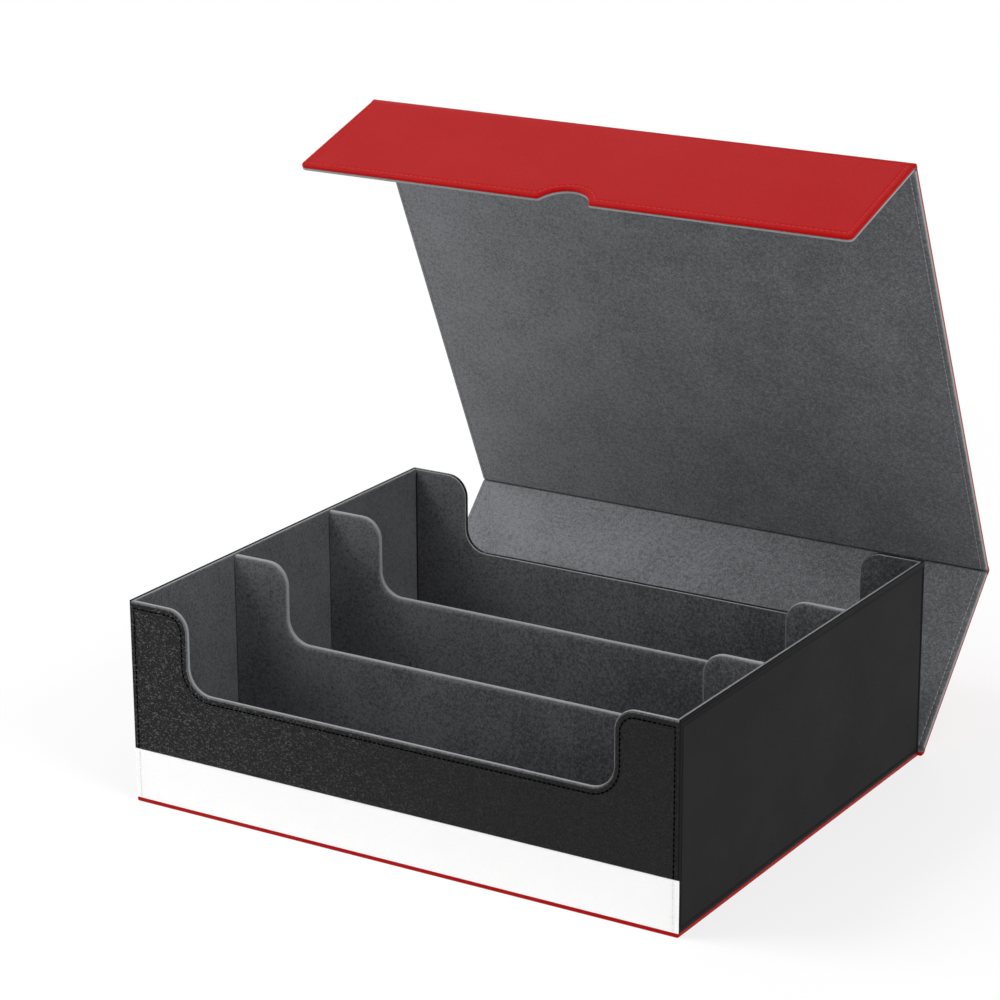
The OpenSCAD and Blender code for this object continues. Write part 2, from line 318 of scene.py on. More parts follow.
red_leather = leatherette(
    "red_leatherette", colour=(0.45, 0.003, 0.005), deep=(0.33, 0.001, 0.001),
    grain=0.5 * mm, depth=0.04 * mm, rough=0.34, shine=0.06,
)
half_w, half_d, base_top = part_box("base_skin")[1]
base_corner_r, base_edge_r = 1.2 * mm, 0.7 * mm
base_border = 0.9 * mm
base_leather_t = 0.5 * mm
base = open_plane("base_leather", (0, 0, 0), 2 * half_w, 2 * half_d, tilt=math.pi)
pick("VERT", lambda at, part: True)
bevel(base_corner_r, 5, of="VERTICES")
bpy.ops.mesh.select_all(action="SELECT")
emboss((base_border, 0.0))
pick("EDGE", open_edge)
extrude(0, 0, base_top - fine_gap)
round_over(base_edge_r)
settle(base, red_leather, base_leather_t)
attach(base, "tray")
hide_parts("base_skin")


# Sides: smooth black leatherette, glued on between the front and back panels and
# rolled over the top, with the turned-in hem pressed in as a line inside each edge.
def flat_sheet(name, x, z, y, facing):
    """A flat upright sheet from x[0] to x[1] and z[0] to z[1] that faces -Y or +Y, open for editing."""
    middle = ((x[0] + x[1]) / 2, y, (z[0] + z[1]) / 2)
    return open_plane(name, middle, x[1] - x[0], z[1] - z[0], tilt=-facing * math.pi / 2)


def turn_to_side(sheet, turn):
    """Turns a sheet that was drawn facing the front, and opens it again."""
    bpy.ops.object.mode_set(mode="OBJECT")
    sheet.rotation_euler = (0, 0, turn)
    apply_place()
    bpy.ops.object.mode_set(mode="EDIT")


smooth_black = leatherette(
    "smooth_black_leatherette", colour=(0.007, 0.007, 0.007), deep=(0.004, 0.004, 0.004),
    grain=0.35 * mm, depth=0.012 * mm, rough=0.5, shine=0.07,
)
# the steps of the hem from the sheet's edge: how far in, and how far out
HEM = (
    (0.9 * mm, 0.0), (0.8 * mm, 0.12 * mm), (0.45 * mm, -0.6 * mm),
    (0.45 * mm, 0.45 * mm), (0.6 * mm, 0.0),
)
tray_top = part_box("left_skin")[1].z
band_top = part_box("front_band")[1].z
skin_t = 0.6 * mm
side_leather_t, side_edge_r = 0.4 * mm, 0.8 * mm
roll_w, roll_h, roll_r = 1.1 * mm, 1.1 * mm, 0.28 * mm
proud = 0.2 * mm  # how far the leatherette stands above the tray's top
corner_gap = 0.3 * mm  # how far it ends from an upright corner
for side, name in ((-1, "left"), (1, "right")):
    sheet = flat_sheet(name + "_leather", (-half_d, half_d), (base_top, tray_top - roll_h), -half_w, -1)
    emboss(*HEM)
    # at the corners it turns in under the front and back panels
    pick("EDGE", lambda at, part: open_edge(at, part) and near(abs(at.x), half_d))
    extrude(0, skin_t, 0)
    round_over(side_edge_r)
    thicken(sheet, side_leather_t)
    bpy.ops.object.mode_set(mode="OBJECT")
    # along the top the leatherette is rolled over the board's edge, as far as the lining
    rolled = (0, (roll_w - 2 * half_w) / 2, tray_top + (proud - roll_h) / 2)
    bpy.ops.mesh.primitive_cube_add(size=1, location=rolled)
    roll = bpy.context.object
    roll.scale = (2 * (half_d - corner_gap), roll_w, roll_h + proud)
    apply_place()
    bpy.ops.object.mode_set(mode="EDIT")
    round_over(roll_r, 3)
    bpy.ops.object.mode_set(mode="OBJECT")
    sheet.select_set(True)
    bpy.context.view_layer.objects.active = sheet
    bpy.ops.object.join()
    turn_to_side(sheet, side * math.pi / 2)
    # in front, the band covers the foot of its turned-in edge
    turned_in_y = -half_d + skin_t
    cut((0, 0, band_top), (0, 0, 1))
    cut((0, turned_in_y, 0), (0, 1, 0))
    pick("FACE", lambda at, part: at.z < band_top and at.y < turned_in_y)
    bpy.ops.mesh.delete(type="FACE")
    settle(sheet, smooth_black)
    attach(sheet, "tray")
    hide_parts(name + "_skin")

# Front and back panels: black pebbled leatherette on the boards, sewn a little
# inside the edge all along the top and the dip, which leaves a rolled rim.
dip_half = 124 * mm  # half the dip's width
dip_floor = 67 * mm  # the height of its floor
shoulder_r = 12 * mm  # its upper corners
dip_r = 13 * mm  # its lower corners
dip_steps = 12
rim_drop_limit = 0.5 * mm  # the most that a rim lies below the dip's floor where it is looked for


def dipped_sheet(name, x, foot, top, y, facing, grow=0.0):
    """A flat sheet with the dip that walls and dividers share, its rim lowered by grow, open for editing."""
    sheet = flat_sheet(name, x, (foot, top - grow), y, facing)
    floor = dip_floor - grow
    reach = dip_half + grow
    for side in (-1, 1):
        cut((side * reach, 0, 0), (1, 0, 0))
    cut((0, 0, floor), (0, 0, 1))
    pick("FACE", lambda at, part: abs(at.x) < reach and at.z > floor)
    bpy.ops.mesh.delete(type="FACE")
    bpy.ops.mesh.select_all(action="SELECT")
    bpy.ops.mesh.dissolve_limited(angle_limit=0.02)
    corners = (
        (lambda at: at.z > floor + same_place, shoulder_r - grow),
        (lambda at: near(at.z, floor), dip_r + grow),
    )
    for test, radius in corners:
        pick("VERT", lambda at, part: near(abs(at.x), reach) and test(at))
        bevel(radius, dip_steps, of="VERTICES")
    bpy.ops.mesh.select_all(action="SELECT")
    return sheet


def rim_edge(at, part, top):
    """An open edge along the top of a wall or round its dip."""
    round_dip = abs(at.x) < dip_half + shoulder_r and at.z > dip_floor - rim_drop_limit
    return open_edge(at, part) and (at.z > top - same_place or round_dip)


def thread_line(sheet, name, test):
    """Lifts a line of the sheet's edges off as the path that its stitches follow."""
    pick("EDGE", test)
    bpy.ops.mesh.duplicate()
    bpy.ops.mesh.separate(type="SELECTED")
    bpy.ops.object.mode_set(mode="OBJECT")
    line = next(o for o in bpy.context.selected_objects if o != sheet)
    line.name = name
    bpy.ops.object.select_all(action="DESELECT")
    bpy.context.view_layer.objects.active = sheet
    sheet.select_set(True)
    bpy.ops.object.mode_set(mode="EDIT")
    return line


# a stitch's ends are drawn in by a share of its thickness, and out to a dome
stitch_end_share, stitch_end_dome = 0.22, 0.12 * mm
stitch_smooth_turn = math.radians(60)


def sew(line, finish, lift, stitch, pitch, thickness):
    """Turns a line of edges, shifted by lift, into the row of stitches that follows it."""
    name = line.name
    places = line.data.vertices
    run = sum((places[a].co - places[b].co).length for a, b in (edge.vertices for edge in line.data.edges))
    count = round(run / pitch)
    pitch = run / count
    bpy.ops.object.select_all(action="DESELECT")
    line.location = lift
    line.select_set(True)
    bpy.context.view_layer.objects.active = line
    apply_place()
    bpy.ops.object.convert(target="CURVE")
    path = bpy.context.object
    path.name = name + "_path"
    path.data.dimensions = "3D"
    path.select_set(False)
    middle = pitch / 2
    bpy.ops.mesh.primitive_cylinder_add(
        vertices=6, radius=thickness / 2, depth=stitch, rotation=(0, math.pi / 2, 0), location=(middle, 0, 0)
    )
    thread = bpy.context.object
    apply_place()
    bpy.ops.object.mode_set(mode="EDIT")
    cut((middle, 0, 0), (1, 0, 0))
    for end in (-1, 1):
        pick("FACE", lambda at, part: near(at.x, middle + end * stitch / 2))
        bpy.ops.mesh.inset(thickness=thickness * stitch_end_share, depth=stitch_end_dome)
    bpy.ops.object.mode_set(mode="OBJECT")
    row = thread.modifiers.new("row", "ARRAY")
    row.count = count
    row.use_relative_offset, row.use_constant_offset = False, True
    row.constant_offset_displace = (pitch, 0, 0)
    bend = thread.modifiers.new("along", "CURVE")
    bend.object, bend.deform_axis = path, "POS_X"
    bpy.ops.object.modifier_apply(modifier="row")
    bpy.ops.object.modifier_apply(modifier="along")
    bpy.data.objects.remove(path)
    thread.name = name
    bpy.ops.object.shade_smooth_by_angle(angle=stitch_smooth_turn)
    thread.data.materials.clear()
    thread.data.materials.append(finish)
    thread.select_set(False)
    return thread


def cotton(name, light, dark, shine=0.1):
    """Twisted sewing thread."""
    yarn = Finish(name, Specular_IOR_Level=shine)
    twist = yarn.noise(size=0.25 * mm, detail=2, stretch=(1, 3, 1))
    return yarn.feed(
        Base_Color=twist.spread().mixed(dark, light),
        Roughness=twist.spread(0.55, 0.75),
        height=twist * (0.04 * mm),
    )


# its glint is a painted highlight on wrinkle tops, most of it on the left
pebbled_black = leatherette(
    "pebbled_black_leatherette", colour=(0.009, 0.009, 0.009), deep=(0.002, 0.002, 0.002),
    grain=1.0 * mm, depth=0.30 * mm, rough=0.40, shine=0.15, glint=(0.1, 0.1, 0.1),
)
black_thread = cotton(
    "black_thread", light=(0.0012, 0.0012, 0.0012), dark=(0.0004, 0.0004, 0.0004), shine=0.0
)
# the steps of the sewn border from the sheet's edge: how far in, and how far out
SEWN = (
    (0.8 * mm, 0.0), (1.3 * mm, 0.12 * mm), (0.45 * mm, -0.20 * mm),
    (0.45 * mm, 0.20 * mm), (0.8 * mm, 0.0),
)
groove_depth = SEWN[1][1] + SEWN[2][1]
# how far the rim is lowered, and how far the leatherette is turned in over it
RIMS = {"front": (1.1 * mm, skin_t - fine_gap), "back": (-proud, 1.9 * mm)}
panel_half = half_w - corner_gap
panel_leather_t, panel_edge_r = 0.3 * mm, 0.45 * mm
foot_spare = 8 * mm  # how far the sewn border runs on below the foot before it is cut off there
thread_sink = 0.08 * mm
for facing, name in ((-1, "front"), (1, "back")):
    face_y = facing * half_d
    rim_drop, turned_in = RIMS[name]
    foot = band_top if facing < 0 else base_top
    # in front the lining comes over the rim, and this sheet stops just below it
    sheet = dipped_sheet(
        name + "_leather", (-panel_half, panel_half), foot - foot_spare, tray_top, face_y, facing,
        grow=rim_drop,
    )
    emboss(*SEWN)
    cut((0, 0, foot), (0, 0, -1), clear=True)
    line = thread_line(
        sheet, name + "_stitches",
        lambda at, part: near(at.y, face_y + facing * groove_depth) and not near(at.z, foot),
    )
    pick("EDGE", open_edge)
    extrude(0, -facing * turned_in, 0)
    round_over(panel_edge_r)
    settle(sheet, pebbled_black, panel_leather_t)
    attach(sheet, "tray")
    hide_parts(name + "_skin")
    inwards = (0, -facing * thread_sink, 0)
    stitches = sew(line, black_thread, inwards, stitch=1.6 * mm, pitch=2.7 * mm, thickness=1.05 * mm)
    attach(stitches, "tray")

# Band: white leatherette along the foot of the front, corner to corner. The
# front panel's two upright seams run on down it.
white_leather = leatherette(
    "white_leatherette", colour=(0.97, 0.97, 0.965), deep=(0.92, 0.92, 0.92),
    grain=0.6 * mm, depth=0.04 * mm, rough=0.42, shine=0.3,
)
white_thread = cotton("white_thread", light=(0.86, 0.86, 0.85), dark=(0.68, 0.68, 0.68))
band_border = 0.7 * mm
seam_x = half_w - 3.2 * mm
SEAMS = (("left", -seam_x), ("right", seam_x))
band = flat_sheet("band_leather", (-half_w, half_w), (base_top, band_top), -half_d, -1)
emboss((band_border, 0.0))
for side, x in SEAMS:
    cut((x, 0, 0), (1, 0, 0))
seam_lines = [
    thread_line(
        band, "band_stitches_" + side,
        lambda at, part: near(at.x, x) and base_top + band_border < at.z < band_top - band_border,
    )
    for side, x in SEAMS
]
pick("EDGE", open_edge)
extrude(0, skin_t - fine_gap, 0)
round_over(panel_edge_r)
settle(band, white_leather, panel_leather_t)
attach(band, "tray")
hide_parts("front_band")
for line in seam_lines:
    stitches = sew(
        line, white_thread, (0, -thread_sink, 0), stitch=2.5 * mm, pitch=3.4 * mm, thickness=0.5 * mm
    )
    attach(stitches, "tray")

# Linings: dark grey microfibre over the inside of the walls, turned over their
# top edges and round the dips, and a piece of its own on the floor. A painted
# highlight makes the nap pale where it bends, and painted shade makes it dark
# where its edges are glued into a corner.
# painted highlight colour for the nap where a lining bends over an edge
PAINTED_BEND_HIGHLIGHT = (0.34, 0.345, 0.355)
# painted shade colour for a lining's upright ends in the corners
SEAM_SHADE = (0.008, 0.008, 0.009)
# the strip of painted shade at a lining's ends
shade_width, shade_top = 0.3 * mm, 2.4 * mm  # the dark strip's width, and where it starts below the rim


def microfibre(name, light, dark, sheen, painted_side_light):
    """Microfibre: a fine speckled nap, cloudy where it lies another way, with painted light that makes it
    lighter on the left and darker on the right.
    """
    cloth = Finish(name, Specular_IOR_Level=0.15, Sheen_Weight=sheen, Sheen_Roughness=0.45)
    nap = cloth.noise(size=1.0 * mm, detail=4, roughness=0.8)
    fibre = cloth.noise(size=2.2 * mm, detail=3, roughness=0.6)
    cloud = cloth.noise(size=26 * mm, detail=3)
    across = cloth.at.node("SeparateXYZ", {}, {"Vector": cloth.at})
    # painted light: lighter towards the left and darker towards the right, as if lit more from the left
    painted_light_left_to_right = across.ramp(-160 * mm, 160 * mm, painted_side_light, -painted_side_light)
    tone = nap * 0.65 + fibre * 0.23 + cloud * 0.12 + painted_light_left_to_right
    flat = tone.ramp(0.38, 0.62).mixed(dark, light)
    # the rim mark gives a painted highlight along the bends and painted shade at the ends in the corners
    rim = cloth.at.node("Attribute", {"attribute_name": "rim"}, out=2)
    with_bend_highlight = rim.ramp(0.2, 0.8, 0.0, 0.75).mixed(flat, PAINTED_BEND_HIGHLIGHT)
    return cloth.feed(
        Base_Color=rim.ramp(-0.45, -0.05, 1.0, 0.0).mixed(with_bend_highlight, SEAM_SHADE),
        Roughness=nap.spread(0.85, 0.98),
        height=(nap * 0.6 + fibre * 0.4) * (0.3 * mm),
    )


def mark_painted_light(piece, across, end=None):
    """Marks where a lining bends over an edge with up to 1, for its painted highlight, and its upright ends,
    if any, with -1, for painted shade in the corner.
    """
    rim = piece.data.attributes.new("rim", "FLOAT", "POINT")
    for mark, vertex in zip(rim.data, piece.data.vertices):
        mark.value = 1 - abs(vertex.normal[across])
        if end and abs(vertex.co[1 - across]) > end - shade_width and vertex.co.z < tray_top - shade_top:
            mark.value = -1


# the last value is painted light: the lining is lighter on the left and darker on the right
tray_cloth = microfibre(
    "tray_microfibre", light=(0.125, 0.128, 0.136), dark=(0.030, 0.031, 0.035), sheen=0.25, painted_side_light=0.035
)
lining_t = 0.4 * mm
sunk = 0.15 * mm  # how far the linings lie below the tray's top
overlap = 0.55 * mm  # how far they run on past the corners of the floor
floor_low, floor_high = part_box("floor_lining")
inner_w, inner_d = floor_high.x, floor_high.y
end_x, end_y = inner_w + overlap, inner_d + overlap
cap_x = half_w - roll_w - fine_gap
cap_r = 0.8 * mm
# how far out the linings come over the rim, and how round they are there
BEADS = {"front": (half_d - 0.2 * mm, 1.15 * mm), "back": (half_d - 1.3 * mm, 0.5 * mm)}
fold_width = 1.5 * mm  # the width of the strip along a lining's edges
largest_strip = 1000 * mm * mm  # the most area that a face of that strip has
strip_end = 1.9 * mm  # how far below the rim the turned-over strip ends at the corners
corner_crease = 0.5 * mm
crease_full = 4 * mm  # how far below the rim the crease has its full depth
margin = 0.1 * mm  # the leeway in the tests below


def tuck(depth, end, face_y):
    """Draws the open sheet's upright ends back into their corners, from a little below the rim."""
    for below in (fold_width, crease_full):
        pick("FACE", lambda at, part: abs(at.x) > end - fold_width and near(at.y, face_y))
        bpy.ops.mesh.bisect(plane_co=(0, 0, tray_top - below), plane_no=(0, 0, 1))
    lowest = tray_top - crease_full + margin
    pick("VERT", lambda at, part: near(abs(at.x), end) and near(at.y, face_y) and at.z < lowest)
    bpy.ops.transform.translate(value=(0, depth, 0))


def double(shift):
    """Adds a copy of the open sheet that is shifted along Y and faces the other way."""
    bpy.ops.mesh.select_all(action="SELECT")
    bpy.ops.mesh.duplicate()
    bpy.ops.transform.translate(value=(0, shift, 0))
    bpy.ops.mesh.flip_normals()


def join_rims(top):
    """Closes the sheet and its copy along their rims."""
    pick("EDGE", lambda at, part: rim_edge(at, part, top))
    bpy.ops.mesh.bridge_edge_loops()


def rim_strip(at, part):
    """A face of the narrow strip along the rim."""
    past_strip_end = abs(at.x) > end_x - fold_width and at.z < tray_top - strip_end
    return part.calc_area() <= largest_strip and at.z >= base_top + 2 * fold_width and not past_strip_end


for facing, name in ((1, "front"), (-1, "back")):
    face_y = -facing * inner_d
    bead_y, bead_r = BEADS[name]
    sheet = dipped_sheet(name + "_cloth", (-end_x, end_x), floor_low.z, tray_top, face_y, facing, grow=sunk)
    emboss((fold_width, 0.0))
    tuck(-facing * corner_crease, end_x, face_y)
    double(-facing * (bead_y - inner_d))
    join_rims(tray_top - sunk)
    # outside, only a narrow strip along the rim is left
    pick("FACE", lambda at, part: abs(at.y) > bead_y - margin and not rim_strip(at, part))
    bpy.ops.mesh.delete(type="FACE")
    # mitred to meet the lining of the side walls
    pick("VERT", lambda at, part: abs(at.y) > bead_y - margin and abs(at.x) > end_x - margin)
    bpy.ops.transform.resize(value=(cap_x / end_x, 1, 1), center_override=(0, 0, 0))
    round_over(bead_r, 5)
    settle(sheet, tray_cloth, lining_t)
    mark_painted_light(sheet, 1, end_x)
    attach(sheet, "tray")
    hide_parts(name + "_lining")

for side, name in ((-1, "left"), (1, "right")):
    sheet = flat_sheet(name + "_cloth", (-end_y, end_y), (floor_low.z, tray_top - sunk), inner_w, -1)
    emboss((fold_width, 0.0))
    tuck(corner_crease, end_y, inner_w)
    pick("EDGE", lambda at, part: open_edge(at, part) and near(at.z, tray_top - sunk))
    extrude(0, cap_x - inner_w, 0)
    pick("VERT", lambda at, part: at.y > cap_x - margin)
    bpy.ops.transform.resize(value=((half_d - corner_gap) / end_y, 1, 1), center_override=(0, 0, 0))
    round_over(cap_r, 5)
    turn_to_side(sheet, -side * math.pi / 2)
    settle(sheet, tray_cloth, lining_t)
    mark_painted_light(sheet, 0, end_y)
    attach(sheet, "tray")
    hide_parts(name + "_lining")

floor_overlap, floor_border = 0.4 * mm, 1.2 * mm
floor_edge, floor_edge_r, floor_cloth_t = 0.4 * mm, 0.35 * mm, 0.15 * mm
floor_w, floor_d = 2 * (inner_w + floor_overlap), 2 * (inner_d + floor_overlap)
floor_cloth = open_plane("floor_cloth", (0, 0, floor_high.z), floor_w, floor_d)
emboss((floor_border, 0.0))
pick("EDGE", open_edge)
extrude(0, 0, -floor_edge)
round_over(floor_edge_r)
settle(floor_cloth, tray_cloth, floor_cloth_t)
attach(floor_cloth, "tray")
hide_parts("floor_lining")

# Dividers: two boards wrapped in thick microfibre that is folded over the top,
# so that their edges are round, and glued between the side walls.
divider_t = 5 * mm
wrap_t, wrap_width = 1.5 * mm, 3.2 * mm
wrap_r = divider_t / 2 - fine_gap
end_gap = 0.1 * mm
crease_width = 0.6 * mm
for name in ("front", "rear"):
    low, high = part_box(name + "_divider_wrap")
    end = high.x - end_gap
    long_end = end + wrap_width - crease_width
    sheet = dipped_sheet(name + "_divider_cloth", (-long_end, long_end), low.z, high.z, low.y, -1)
    emboss((wrap_width, 0.0))
    for side in (-1, 1):
        cut((side * end, 0, 0), (side, 0, 0), clear=True)
    # below the round top both faces are drawn in at the ends, as a crease against the side walls
    pick("VERT", lambda at, part: near(abs(at.x), end) and at.z < high.z - divider_t / 2)
    bpy.ops.transform.translate(value=(0, crease_width, 0))
    double(divider_t)
    pick("VERT", lambda at, part: near(at.y, high.y + crease_width))
    bpy.ops.transform.translate(value=(0, -2 * crease_width, 0))
    join_rims(high.z)
    round_over(wrap_r, 8)
    settle(sheet, tray_cloth, wrap_t)
    mark_painted_light(sheet, 1)
    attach(sheet, "tray")
    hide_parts(name + "_divider_wrap")


# Cover: spine, lid and flap. Each is a board between red leatherette outside and
# grey microfibre inside, which meet halfway round its edges and are sewn together
# a little inside them. A thumb notch is cut in the flap's free edge.
def along(turn):
    """The way a panel runs from its fold."""
    return Vector((0, -math.sin(turn), math.cos(turn)))


def outward(turn):
    """The way a panel's outer face looks."""
    return Vector((0, math.cos(turn), math.sin(turn)))


fold_y, fold_z = 134.8 * mm, 1.95 * mm
fold_half = 1.95 * mm
cover_half_t = 1.8 * mm
spine_lean, lid_lean, flap_droop = (math.radians(a) for a in (44, 24.5, 18))
spine_len, lid_len, flap_len = 110.35 * mm, 269.6 * mm, 74 * mm
cover_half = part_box("spine_skin")[1].x
TURNS = {"spine": -spine_lean, "lid": lid_lean, "flap": math.pi / 2 + flap_droop}
LENGTHS = {"spine": spine_len, "lid": lid_len, "flap": flap_len}
AXES = {"spine": Vector((0, fold_y, fold_z))}
AXES["lid"] = AXES["spine"] + along(TURNS["spine"]) * spine_len
AXES["flap"] = AXES["lid"] + along(TURNS["lid"]) * lid_len

notch_r, notch_depth = 15.5 * mm, 11 * mm
notch_z = flap_len + notch_r - notch_depth
notch_steps = 24
# each corner's radius and steps, and the least share of the radius that an inset leaves
FLAP_CORNER, NOTCH_CORNER = (3 * mm, 6), (1.2 * mm, 4)
least_share = 0.4
fold_spare = 9 * mm  # how far a panel's outline runs on past its folds before it is cut off there
rim_r, rim_steps = 1 * mm, 5
groove_ground = -0.22 * mm
RIM_TURNS = [math.pi / 2 * step / rim_steps for step in range(rim_steps + 1)]
# how far in from the edge, and how far out from the face: the rounded rim, and then the sewn border.
# No two rings that follow each other lie in one plane, because bridging would twist them.
COVER_EDGE = (
    (0.0, fine_gap - cover_half_t),
    *((rim_r * (1 - math.cos(turn)), rim_r * (math.sin(turn) - 1)) for turn in RIM_TURNS),
    (1.5 * mm, 0.02 * mm), (2.6 * mm, 0.14 * mm), (3.2 * mm, groove_ground),
    (3.8 * mm, 0.05 * mm), (4.8 * mm, 0.03 * mm),
)


def cut_notch(inset, high, y):
    """Cuts the thumb notch into the open outline of the flap and rounds its corners."""
    rise = notch_z - high
    reach = math.sqrt((notch_r + inset) ** 2 - rise ** 2)
    for side in (-1, 1):
        cut((side * reach, 0, 0), (1, 0, 0))
    bpy.ops.mesh.delete(type="ONLY_FACE")
    pick("EDGE", lambda at, part: near(at.x, 0) and near(at.z, high) or near(abs(at.x), reach))
    bpy.ops.mesh.delete(type="EDGE")
    pick("VERT", lambda at, part: near(at.x, -reach) and near(at.z, high))
    arc = 2 * math.atan2(reach, rise)
    bpy.ops.mesh.spin(steps=notch_steps, angle=arc, center=(0, y, notch_z), axis=(0, 1, 0))
    bpy.ops.mesh.select_all(action="SELECT")
    bpy.ops.mesh.remove_doubles(threshold=same_place)
    bpy.ops.mesh.edge_face_add()
    for corner_x, (radius, steps) in ((cover_half - inset, FLAP_CORNER), (reach, NOTCH_CORNER)):
        pick("VERT", lambda at, part: near(abs(at.x), corner_x) and near(at.z, high))
        bevel(max(radius - inset, least_share * radius), steps, of="VERTICES")


def outline(panel, inset, y):
    """Draws a panel's outline as a loop of edges, drawn in by inset and running on past its folds."""
    low = fold_half - fold_spare + inset
    high = (flap_len if panel == "flap" else LENGTHS[panel] - fold_half + fold_spare) - inset
    ring = flat_sheet(panel, (inset - cover_half, cover_half - inset), (low, high), y, 1)
    if panel == "flap":
        cut_notch(inset, high, y)
    bpy.ops.mesh.select_all(action="SELECT")
    bpy.ops.mesh.delete(type="ONLY_FACE")
    bpy.ops.object.mode_set(mode="OBJECT")
    return ring


def cover_sheet(name, panel, y, facing):
    """The sheet of a panel upright at the origin, bridged from its outlines, open for editing."""
    bpy.ops.object.select_all(action="DESELECT")
    rings = [outline(panel, inset, y + facing * relief) for inset, relief in COVER_EDGE]
    for ring in rings:
        ring.select_set(True)
    size = len(rings[0].data.vertices)
    last = len(rings) - 1
    sheet = rings[0]
    bpy.context.view_layer.objects.active = sheet
    bpy.ops.object.join()
    sheet.name = name
    bpy.ops.object.mode_set(mode="EDIT")

    def rings_of(part):
        return {vertex.index // size for vertex in part.verts}

    for step in range(last):
        pick("EDGE", lambda at, part: rings_of(part) in ({step}, {step + 1}))
        bpy.ops.mesh.bridge_edge_loops()
    pick("EDGE", lambda at, part: min(rings_of(part)) >= last)
    bpy.ops.mesh.edge_face_add()
    bpy.ops.mesh.select_all(action="SELECT")
    bpy.ops.mesh.normals_make_consistent(inside=False)
    if sum(face.normal.y for face in bmesh.from_edit_mesh(sheet.data).faces) * facing < 0:
        bpy.ops.mesh.flip_normals()
    return sheet


def trim_to_folds(panel):
    """Cuts a panel's sheet off at its folds."""
    cut((0, 0, fold_half), (0, 0, -1), clear=True)
    if panel != "flap":
        cut((0, 0, LENGTHS[panel] - fold_half), (0, 0, 1), clear=True)


def set_in_place(piece, panel):
    """Turns a piece that was made upright at the origin to where its panel is."""
    bpy.ops.object.select_all(action="DESELECT")
    piece.select_set(True)
    bpy.context.view_layer.objects.active = piece
    piece.location = AXES[panel]
    piece.rotation_euler = (TURNS[panel], 0, 0)
    apply_place()


red_thread = cotton("red_thread", light=(0.72, 0.06, 0.06), dark=(0.45, 0.02, 0.02))
grey_thread = cotton("grey_thread", light=(0.40, 0.40, 0.41), dark=(0.22, 0.22, 0.23))
# the last value is painted light: the lining is lighter on the left and darker on the right
cover_cloth = microfibre(
    "cover_microfibre", light=(0.215, 0.221, 0.234), dark=(0.070, 0.073, 0.080), sheen=0.3, painted_side_light=0.04
)
covering_t = 0.45 * mm
thread_lift = 0.13 * mm
COVERINGS = (
    ("leather", "skin", 1, red_leather, red_thread, "red_leatherette"),
    ("cloth", "lining", -1, cover_cloth, grey_thread, "cover_microfibre"),
)
for panel in ("spine", "lid", "flap"):
    # the flap is sewn in one line round its free edges, and the others along their two sides
    seams = (("", 0),) if panel == "flap" else (("_left", -1), ("_right", 1))
    low_end, high_end = fold_half, LENGTHS[panel] - fold_half
    for made_of, node, facing, finish, thread_finish, slot_name in COVERINGS:
        face_y = facing * cover_half_t
        name = f"{panel}_{made_of}"
        sheet = cover_sheet(name, panel, face_y, facing)
        trim_to_folds(panel)
        groove_y = face_y + facing * groove_ground
        lines = []
        for suffix, side in seams:
            lines.append(thread_line(
                sheet, f"{name}_stitches{suffix}",
                lambda at, part: near(at.y, groove_y) and not near(at.z, low_end)
                and (side == 0 or (at.x * side > 0 and not near(at.z, high_end))),
            ))
        settle(sheet, finish, covering_t)
        if made_of == "cloth":
            mark_painted_light(sheet, 1)
        set_in_place(sheet, panel)
        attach(sheet, panel)
        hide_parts(f"{panel}_{node}")
        for line in lines:
            set_in_place(line, panel)
            lift = outward(TURNS[panel]) * (facing * thread_lift)
            stitches = sew(line, thread_finish, lift, stitch=1.8 * mm, pitch=3 * mm, thickness=0.6 * mm)
            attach(stitches, panel)

# Folds: between panels the leatherette and the microfibre are glued together
# without board. Outside they roll over; inside they sink to a crease.
FOLDS = (
    ("base_fold", "tray", "spine", -math.pi / 2, AXES["spine"], fold_y - half_d, "base_crease"),
    ("lid_fold", "spine", "lid", TURNS["spine"], AXES["lid"], fold_half, "lid_crease"),
    ("flap_fold", "lid", "flap", TURNS["lid"], AXES["flap"], fold_half, "flap_crease"),
)
fold_lining_t = 1.2 * mm
valley_depth, valley_r = 0.5 * mm, 0.3 * mm
bar_end_r = 0.5 * mm


def bar(name, corners, rounded, finish):
    """A bar across the cover, drawn out from one strip corner by corner, closed and rounded at a corner."""
    first, second = corners[0], corners[1]
    tilt = math.atan2(second.z - first.z, second.y - first.y)
    strip = open_plane(name, (first + second) / 2, 2 * cover_half, (second - first).length, tilt)

    def at_corner(corner):
        return lambda at, part: (at - Vector((0, corner.y, corner.z))).length < same_place

    here = second
    for corner in (*corners[2:], first):
        pick("EDGE", at_corner(here))
        extrude(*(corner - here))
        here = corner
    bpy.ops.mesh.select_all(action="SELECT")
    bpy.ops.mesh.remove_doubles(threshold=same_place)
    for side in (-1, 1):
        pick("EDGE", lambda at, part: open_edge(at, part) and near(at.x, side * cover_half))
        bpy.ops.mesh.edge_face_add()
    bend, radius, steps = rounded
    pick("EDGE", at_corner(bend))
    bevel(radius, steps)
    pick("EDGE", lambda at, part: near(abs(at.x), cover_half))
    bevel(bar_end_r, 3)
    bpy.ops.mesh.select_all(action="SELECT")
    bpy.ops.mesh.normals_make_consistent(inside=False)
    return settle(strip, finish)


